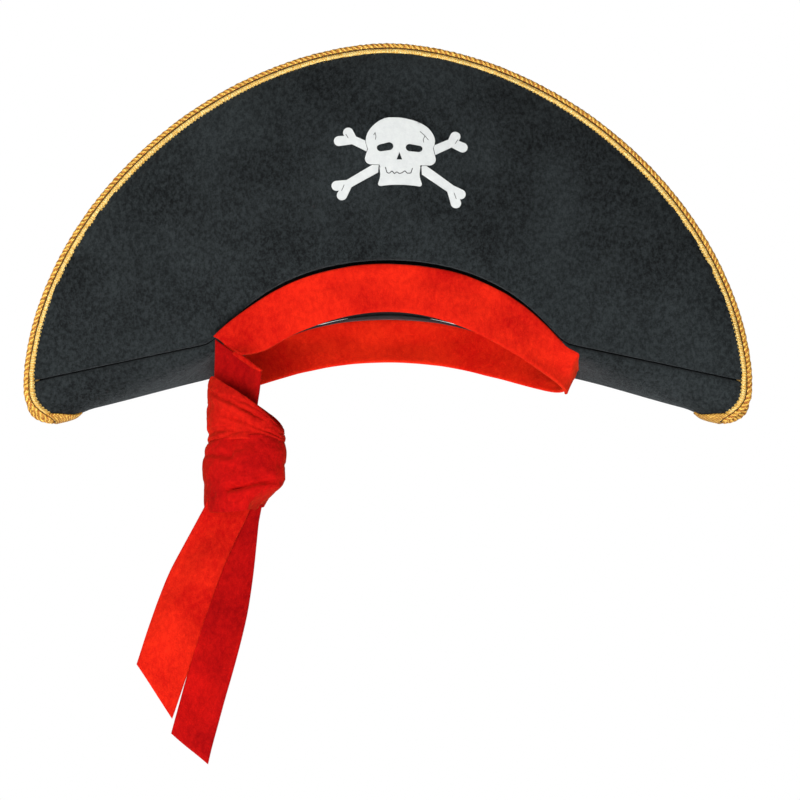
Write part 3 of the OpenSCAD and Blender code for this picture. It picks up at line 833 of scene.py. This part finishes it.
def crown_point(c, w, d):
    """w = -1 at the front hem, 0 at the top seam, 1 at the back hem; set in by d."""
    s = math.sqrt(max(1 - c * c, 0))
    hem = seam_z(s) - 0.001
    ridge = CROWN_SIDE_TOP - d + (CROWN_TOP - CROWN_SIDE_TOP) * s ** 0.9
    up = 1 - abs(w)
    side = -1 if w < 0 else 1
    y = side * (CROWN_B - d) * s * max(0, math.cos(math.pi / 2 * up)) ** 0.8
    z = hem + (ridge - hem) * math.sin(math.pi / 2 * up) ** 0.9
    made = Vector(((CROWN_A - d) * c * (1 - 0.06 * up * up), y, z))
    made.y += soft(made, 0.05, 0.0035, 7.0) * math.sin(math.pi * min(1, abs(w)))
    made.z += soft(made, 0.045, 0.003, 2.0) * up * s
    return made


def crown_layer(name, finish, depth, half):
    """One layer of the crown, from its front hem over the top to its back hem."""
    def middle(b, w):
        return crown_point(-math.cos(math.pi * lerp(0.0002, 0.9998, b)), lerp(-1, 1, w), depth)

    return band(name, finish, middle, lambda b, w: half, steps=56, across=48, edge=0.006, end=0.006)


crown = crown_layer("crown", OUTER_VELVET, 0.0006, 0.0006)
crown_lining = crown_layer("crown_lining", LINING, 0.0018, 0.00025)


def crown_seam(b, w):
    """The flat tape under the seam over the crown's top."""
    c = -math.cos(math.pi * lerp(0.06, 0.94, b))
    top = crown_point(c, 0, 0.0030)
    return top + Vector((0, lerp(-0.005, 0.005, w), -0.0004 * (1 - math.cos(2 * math.pi * w))))


seam_tape = band("crown_seam_tape_cloth", TAPE, crown_seam, lambda b, w: 0.00025, steps=50, across=4,
                 edge=0.05, end=0.004)
TAPE_STEPS = 120


def to_foot(point, inside, below):
    """The step from the opening's rim to the foot of the flap beside it; it fades out at the hat's sides."""
    near = foot_y(point.x)
    side = math.copysign(1, point.y)
    step = Vector((0, side * (near - inside) - point.y, fold_z(near) - below - point.z))
    return step * ease(abs(point.y) / 0.012)


def opening_tape_point(i, j):
    """Round a thin flat tape from the flap's foot to the crown's hem, wider at the hat's sides."""
    f = 2 * math.pi * j / TAPE_STEPS
    z = seam_z(math.sin(f)) - 0.0022
    over = 0.0045 * ease(1 - abs(math.sin(f)) / 0.5)
    outer = Vector(((OPEN_A - 0.0016 + over) * math.cos(f), (OPEN_B - 0.0016) * math.sin(f), z + over * 0.5))
    outer += to_foot(outer, 0.0004, 0.0012)
    inner = Vector(((CROWN_A - 0.0037) * math.cos(f), (CROWN_B - 0.0037) * math.sin(f), z + 0.0003))
    corners = [outer, outer.lerp(inner, 0.5) - Vector((0, 0, 0.0006)), inner]
    low = [p - Vector((0, 0, 0.001)) for p in reversed(corners)]
    return (corners + low + [outer])[i]


opening_tape = piece("opening_tape_cloth", grid(6, TAPE_STEPS, opening_tape_point), TAPE)
label_low, label_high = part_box("care_label")


def label_point(b, w):
    """The blank label, which curls a little at its free edge."""
    x = lerp(label_low.x, label_high.x, b)
    z = lerp(label_low.z, label_high.z, w)
    curl = 0.0016 * (1 - w) ** 2
    return Vector((x, (label_low.y + label_high.y) / 2 - curl + 0.0003 * math.sin(9 * b), z))


label = band("label_cloth", SATIN, label_point, lambda b, w: 0.0002, steps=14, across=10, edge=0.01, end=0.01)
for one, finish_slot, names in (
        (crown, "black_velvet", ("crown_front", "crown_back")),
        (crown_lining, "black_lining", ("crown_lining_front", "crown_lining_back")),
        (seam_tape, "black_lining", ("crown_seam_tape",)),
        (opening_tape, "black_lining", ("opening_seam_tape",)),
        (label, "white_satin", ("care_label",))):
    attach(one, "root")
    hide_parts(*names)

# ---------------------------------------------------------------- sash

DRAWN_FROM, DRAWN_IN = 0.060, 0.87
SIDE_DIP, LAP_OUT, LAP_DOWN = 0.0040, 0.0060, 0.0025
FOLD_TOP = Vector((-0.1145, -0.0440, 0.0225))
FOLD_LOW = Vector((-0.0950, -0.0500, 0.0095))


def sash_low(s, front, x):
    """The height of the sash's lower edge, which arches up at the front and back and slants at the front."""
    if front:
        return 0.035 * s ** 3 - 0.04 * x * (1 - s)
    return 0.035 * s ** 2.3


def sash_point(angle, w, out=0.0):
    """The sash at an angle round the opening, w = 0 at its bottom edge to 1 at its top."""
    along, away_y = math.cos(angle), math.sin(angle)
    s = abs(away_y)
    lean = 0.002 * (1 - w)
    x, y = (OPEN_A - lean) * along, (OPEN_B - lean) * away_y
    normal = Vector((along / OPEN_A, away_y / OPEN_B, 0)).normalized()
    z = lerp(sash_low(s, away_y < 0, x), seam_z(s) - SIDE_DIP * (1 - s), w)
    if x < -DRAWN_FROM:
        x = -DRAWN_FROM - (-DRAWN_FROM - x) * DRAWN_IN
    lap = ease((along - 0.88) / 0.10) * max(0.0, w) ** 1.5
    return Vector((x + LAP_OUT * lap, y, z - LAP_DOWN * lap)) + normal * out


def sash_length(name, finish, start, end, seed, folded=False):
    """One length of the sash between two angles, up to the flap's foot; a folded end narrows to an edge."""
    def middle(b, w):
        angle = math.radians(lerp(start, end, b))
        base = sash_point(angle, w)
        wave = soft(base, 0.030, 0.0022, seed) + soft(base, 0.012, 0.0006, seed + 4)
        inner, top = min(1, max(0, w)), ease((w - 0.7) / 0.3)
        flare = 0.0026 * top if math.sin(angle) < 0 else 0.0
        out = wave * math.sin(math.pi * inner) ** 0.5 + 0.0012 * math.sin(math.pi * w) + flare
        made = sash_point(angle, w, out)
        made.z += 0.0014 * top * abs(math.sin(angle))
        made += to_foot(sash_point(angle, 1), 0.0012, 0.0034) * ease((w - 0.2) / 0.8)
        if folded:
            turn = ease(1 - b / 0.17)
            made = made.lerp(FOLD_LOW.lerp(FOLD_TOP, inner), turn)
            made.y -= 0.006 * math.sin(math.pi * turn) * (1 - 0.4 * w)
        return made

    return band(name, finish, middle, lambda b, w: 0.0012, steps=130, across=14, edge=0.035, end=0.006,
                size=(0.28, 0.04))


sash_front = sash_length("sash_front_length", RED, -158, -0.4, 1.0, folded=True)
# The back length takes the lighter copy of the red: painted light where it lies in shade.
sash_back = sash_length("sash_back_length", RED_LIT, 0.4, 212, 9.0)


def sash_stitches():
    """Three short stitches that close the sash at the side without the knot."""
    shape = bmesh.new()
    shape.loops.layers.uv.new("UVMap")
    for k in range(3):
        spot = sash_point(0, (k + 1) / 4, 0.0016)
        place = Matrix.Translation(spot) @ Matrix.Diagonal((0.0005, 0.0032, 0.0005, 1))
        bmesh.ops.create_uvsphere(shape, u_segments=10, v_segments=8, radius=1.0, matrix=place)
    return piece("side_stitches", shape, RED_THREAD)


side_stitches = sash_stitches()

# ---------------------------------------------------------------- strip, knot and tails

DROP = Vector((-0.0982, -0.0448, 0))
TURN = math.radians(-20)
STRIP_SIDE = Vector((math.cos(TURN), math.sin(TURN), 0))
STRIP_OUT = Vector((math.sin(TURN), -math.cos(TURN), 0))


def by_strip(side, out, z):
    """A point in the strip's own directions: along its width, out of its face, and up."""
    return DROP + STRIP_SIDE * side + STRIP_OUT * out + Vector((0, 0, z))


def strip_point(b, w):
    """From behind the sash's folded corner down into the knot; its top edge slants with the fold."""
    top = lerp(0.0225, -0.0035, w)
    z = lerp(top, -0.040, b)
    narrow = lerp(1.0, 0.74, ease((-0.002 - z) / 0.030))
    side = lerp(-0.0168, 0.0168, w) * narrow + 0.003 * ease((-0.004 - z) / 0.03)
    fold = 0.0018 * math.sin(2.2 * math.pi * w + 0.6) * ease((0.016 - z) / 0.03)
    made = by_strip(side, -0.0012 + fold + 0.003 * ease((-0.012 - z) / 0.02), z)
    made.y += soft(made, 0.016, 0.0012, 5.0)
    return made


# The strip takes the darker red: painted shade under the sash's fold.
strip = band("sash_drop_strip", RED_SHADE, strip_point, lambda b, w: -0.0011, steps=56, across=18, edge=0.035,
             end=0.012, size=(0.08, 0.034))
ROLL_STEPS = 24


def fold_roll_path():
    """Along the strip's slanting top edge, from under the sash to the strip's right edge."""
    shares = [k / ROLL_STEPS for k in range(ROLL_STEPS + 1)]
    return [strip_point(0.0, lerp(0.42, 0.995, t)) + STRIP_OUT * (0.0010 * math.sin(math.pi * t))
            for t in shares]


fold_roll = tube("sash_fold_roll", RED, fold_roll_path(),
                 lambda k: 0.0019 - 0.0007 * (k / ROLL_STEPS) ** 2, sides=12)

KNOT_MIDDLE, KNOT_LOW, CORE_TOP = 0.0055, -0.0998, -0.0187


def crease(value, width):
    return math.exp(-(value / width) ** 2)


def wrap(name, finish, low, high, wide, deep, grooves, pits, seed, drawn_in=0.0, back_lift=0.0):
    """One turn of folded cloth round the knot. low and high give its edges' heights for c, from -1 at the
    left to 1 at the right. Grooves are (height share, slope, depth, width, c from, c to) and pits are
    (c, z, depth, size). drawn_in narrows its bottom right; back_lift raises its lower edge behind."""
    inner_a, inner_b = 0.0195, 0.0110
    around, rounds = 150, 84

    def point(i, j):
        f = 2 * math.pi * j / around
        g = 2 * math.pi * i / rounds
        c, front = math.cos(f), -math.sin(f)
        outer = (1 + math.cos(g)) / 2
        h = signed_power(math.sin(g), 0.82)
        z = lerp(low(c) + back_lift * max(0.0, -front), high(c), (1 + h) / 2)
        a = lerp(inner_a, wide / 2 - 0.0010, outer ** 0.62)
        b = lerp(inner_b, deep / 2 - 0.0010, outer ** 0.62)
        push = 0.0
        for share, slope, depth, width, c0, c1 in grooves:
            here = crease(h - share - slope * c, width) * ease((c - c0) / 0.3) * ease((c1 - c) / 0.3)
            push -= depth * here * max(0.0, front + 0.35)
        for pit_c, pit_z, depth, size in pits:
            far = math.hypot((c - pit_c) * wide / 2, z - pit_z)
            push -= depth * crease(far, size) * max(0.0, front)
        spot = Vector((0.9 * c + seed, 0.9 * front, 1.7 * h + 0.5 * c))
        push += 0.0016 * noise.noise(spot) - 0.0009 * crease(noise.noise(spot * 1.9), 0.08)
        push *= outer
        narrow = 1 - drawn_in * ease((-h - 0.2) / 0.85) * ease(c)
        return by_strip(KNOT_MIDDLE + (a + push) * c * narrow, (b + push) * front, z)

    shape = grid(rounds, around, point)
    cloth_scale(shape, 0.15, 0.08)
    return piece(name, shape, finish)


def upper_edge(c):
    """The upper wrap's slanting top edge, which falls away at the right."""
    return (-0.0165 - 0.0130 * c - 0.003 * ease((-c - 0.8) / 0.2) - 0.0020 * ease((c + 0.8) / 0.6)
            - 0.0035 * ease(c + 0.3) - 0.008 * max(0.0, c) ** 4)


upper_wrap = wrap("knot_upper", RED_KNOT, lambda c: -0.0520 - 0.002 * c, upper_edge, 0.0560, 0.0385,
                  [(0.40, -0.15, 0.0026, 0.06, -0.95, 0.8), (-0.15, -0.25, 0.0018, 0.08, -0.5, 1.2),
                   (-0.62, 0.10, 0.0030, 0.10, -1.3, -0.2)],
                  [(-0.10, -0.0455, 0.0040, 0.0085), (0.50, -0.0490, 0.0035, 0.0060)], 2.3)
# The main wrap takes the darker red for the darker lie of its pile.
main_wrap = wrap("knot_main", RED_SHADE, lambda c: -0.1010 + 0.004 * c * c, lambda c: -0.0500 + 0.001 * c,
                 0.0580, 0.0405,
                 [(-0.36, 0.10, 0.0050, 0.075, -0.35, 1.3), (0.45, -0.25, 0.0018, 0.09, -1.2, 0.1),
                  (0.10, -0.35, 0.0016, 0.07, -0.3, 0.9)],
                 [(-0.02, -0.0530, 0.0050, 0.0080), (0.42, -0.0535, 0.0040, 0.0060)], 6.1,
                 drawn_in=0.70, back_lift=0.010)


CORE_ROUND, CORE_STEPS = 40, 20


def core_point(i, j):
    """Pleated cloth inside both wraps, narrower at its ends and shifted left where the wraps are drawn in."""
    f = 2 * math.pi * i / CORE_ROUND
    k = j / CORE_STEPS
    z = lerp(CORE_TOP, KNOT_LOW, k)
    if j in (0, CORE_STEPS):
        return by_strip(KNOT_MIDDLE, 0, z)
    full = math.sin(math.radians(14 + 152 * k)) ** 0.6
    pleat = 1 + 0.05 * math.sin(7 * f + 3 * k)
    shift = 0.011 * ease((k - 0.6) / 0.28) + 0.005 * ease((0.45 - k) / 0.3)
    return by_strip(KNOT_MIDDLE - shift + (0.0225 - shift) * full * pleat * math.cos(f),
                    0.0138 * full * pleat * math.sin(f), z)


core = piece("knot_inside", grid(CORE_ROUND, CORE_STEPS, core_point), RED_KNOT)


def tail(name, finish, top, lean, width, length, cut, sway, depth, gather, seed):
    """A ribbon that hangs from the knot in a slow curve, to a slanting cut."""
    lean = math.radians(lean)
    down = Vector((-math.sin(lean), 0, -math.cos(lean)))
    side = Vector((math.cos(lean), 0, -math.sin(lean)))

    def middle(b, w):
        end = length - cut * (1 - w)
        run = lerp(-0.012, end, b)
        share = max(0.0, run / length)
        spread = lerp(gather, 1.0, ease(share / 0.45))
        across = (w - 0.5) * width * spread
        bend = sway * math.sin(math.pi * 1.25 * share + 0.3)
        limp = 0.35 + 0.65 * math.sin(math.pi * min(1, share * 1.1))
        fold = depth * math.sin(math.pi * (1.4 * w + 1.1 * share + seed)) * limp
        made = Vector(top) + down * run + side * (across + bend)
        made.y += fold + soft(made, 0.022, 0.0016, seed)
        return made

    return band(name, finish, middle, lambda b, w: 0.0009, steps=84, across=16, edge=0.03, end=0.006,
                size=(length, width))


tail_front = tail("tail_front_ribbon", RED, (-0.105, -0.050, -0.101), lean=22, width=0.033, length=0.136,
                  cut=0.024, sway=-0.0035, depth=0.0042, gather=0.86, seed=0.2)
# The rear tail takes the darker red: painted shade behind the front tail.
tail_rear = tail("tail_rear_ribbon", RED_SHADE, (-0.097, -0.044, -0.101), lean=10, width=0.028, length=0.163,
                 cut=0.016, sway=0.0035, depth=0.0036, gather=0.9, seed=1.1)

for one, finish_slot, node in (
        (sash_front, "red_velvet", "sash_front"), (sash_back, "red_velvet", "sash_back"),
        (side_stitches, "red_thread", "sash_side_stitches")):
    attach(one, "root")
    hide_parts(node)
for one in (strip, fold_roll):
    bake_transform(one)
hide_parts("sash_drop", "sash_neck")
for one, node in ((upper_wrap, "knot_upper_wrap"), (main_wrap, "knot_main_wrap"), (core, "knot_core")):
    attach(one, "knot")
    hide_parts(node)
for one, body in ((tail_front, "tail_front"), (tail_rear, "tail_rear")):
    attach(one, body)
    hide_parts(body)

# ---------------------------------------------------------------- emblem

EMBLEM = Vector((0.008, 0, 0.138))
EMBLEM_NODES = ("skull_patch", "bone_upper_left", "bone_upper_right", "bone_lower_left", "bone_lower_right")
VINYL_UP, VINYL_SUNK = 0.00065, 0.0003
CUT_STEP = 0.0022


def emblem_z(z):
    """The emblem sits a little lower and flatter than the frame's outline; millimetres from its middle."""
    return z * 0.966 - 2.5


def emblem_shape(x, z, skull):
    """Softens the frame's plain outline: a rounder, lower skull with a narrower jaw."""
    if skull:
        low = 3.0 * ease((x + 2) / 18) + 1.8 * ease((-x - 6) / 14)
        z -= low * ease((z - 4) / 18)
        x *= 1 - 0.085 * crease(z + 12.5, 5.0) + 0.02 * crease(z + 20, 3.0)
        z += 1.1 * (1 - min(1.0, abs(x) / 13) ** 2) * ease((-z - 13) / 6)
    return x, emblem_z(z)


FLAP_MIDDLE = tree_of(grid(30, 24, lambda i, j: flap(lerp(-0.35, 0.4, i / 30), j / 24, 0.0)))


def cut_out(name, node, finish):
    """A vinyl cut-out that lies on the flap: the frame's outline, cut fine enough to follow the cloth."""
    shape = bmesh.new()
    shape.from_mesh(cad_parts[node].data)
    bmesh.ops.remove_doubles(shape, verts=shape.verts, dist=1e-6)
    low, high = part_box(node)
    for axis in (Vector((1, 0, 0)), Vector((0, 0, 1))):
        start, stop = low.dot(axis), high.dot(axis)
        for k in range(1, int((stop - start) / CUT_STEP) + 1):
            bmesh.ops.bisect_plane(shape, geom=shape.verts[:] + shape.edges[:] + shape.faces[:], dist=1e-7,
                                   plane_co=axis * (start + k * CUT_STEP), plane_no=axis)
    if shape.loops.layers.uv.active is None:
        shape.loops.layers.uv.new("UVMap")
    for v in shape.verts:
        _, _, _, far = FLAP_MIDDLE.find_nearest(v.co)
        top = far > FULL + 0.00055
        x, z = emblem_shape((v.co.x - EMBLEM.x) / MM, (v.co.z - EMBLEM.z) / MM, node == "skull_patch")
        spot = Vector((EMBLEM.x + x * MM, v.co.y, EMBLEM.z + z * MM))
        v.co, _ = on_flap(spot, VINYL_UP if top else -VINYL_SUNK)
    return piece(name, shape, finish, smooth=False)


emblem = [cut_out(f"{node}_vinyl", node, VINYL) for node in EMBLEM_NODES]


def mark(name, lines):
    """Thin printed lines on the vinyl, given in the emblem's own directions in millimetres."""
    shape = bmesh.new()
    shape.loops.layers.uv.new("UVMap")
    for points, width in lines:
        path = evenly([EMBLEM + Vector((x, -80, emblem_z(z))) * MM for x, z in points], 0.0006)
        for here, ahead in zip(path, path[1:]):
            where, normal = on_flap(here.lerp(ahead, 0.5), VINYL_UP + 0.00003)
            run = ahead - here
            run = (run - normal * run.dot(normal)).normalized()
            turn = Matrix((run, normal.cross(run), normal)).transposed().to_4x4()
            turn.translation = where
            bmesh.ops.create_uvsphere(shape, u_segments=6, v_segments=3, radius=1.0,
                                      matrix=turn @ Matrix.Diagonal((0.0006, width * MM, 0.0001, 1)))
    return piece(name, shape, PRINT)


TEETH = [(-9.6, -6.6), (-8.6, -10.2), (-7.2, -11.0), (-5.2, -9.3), (-3.6, -11.2), (-2.0, -9.9), (-0.4, -11.2),
         (1.4, -10.6), (3.2, -9.2), (4.8, -11.0), (7.2, -10.8), (8.2, -7.4)]
print_lines = mark("skull_print_lines", [
    (TEETH, 0.36),
    ([(-16.4, 17.4), (-15.8, 14.8), (-16.2, 12.6)], 0.26), ([(-17.2, 15.8), (-16.4, 17.2)], 0.30),
    ([(13.2, 18.2), (16.4, 15.2), (15.2, 12.8), (15.6, 10.6)], 0.24), ([(16.4, 15.2), (18.6, 12.4)], 0.24),
    ([(-35.6, 16.4), (-34.0, 13.8)], 0.24), ([(38.0, 12.6), (36.2, 9.8)], 0.24),
    ([(-36.6, -18.6), (-38.2, -22.4)], 0.24), ([(35.4, -24.6), (36.8, -28.6)], 0.24),
    ([(13.2, -6.2), (14.4, -6.0)], 0.36), ([(-13.4, -5.4), (-13.0, -6.8)], 0.2),
])
for one, node in zip(emblem, EMBLEM_NODES):
    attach(one, "front_flap")
    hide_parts(node)
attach(print_lines, "front_flap")

# ---------------------------------------------------------------- floor

FLOOR_Z, FLOOR_HALF = -1.25, 6.0
floor_shape = bmesh.new()
bmesh.ops.create_grid(floor_shape, x_segments=1, y_segments=1, size=FLOOR_HALF,
                      matrix=Matrix.Translation((0, 0, FLOOR_Z)))
pale = Finish("pale floor", Roughness=0.9, Emission_Color=(1, 1, 1, 1), Emission_Strength=0.30)
pale.colour(pale.blend(pale.cloud(pale.place(), 3), (0.86, 0.86, 0.86), (0.9, 0.9, 0.9)))
floor = piece("floor", floor_shape, pale.material, smooth=False)
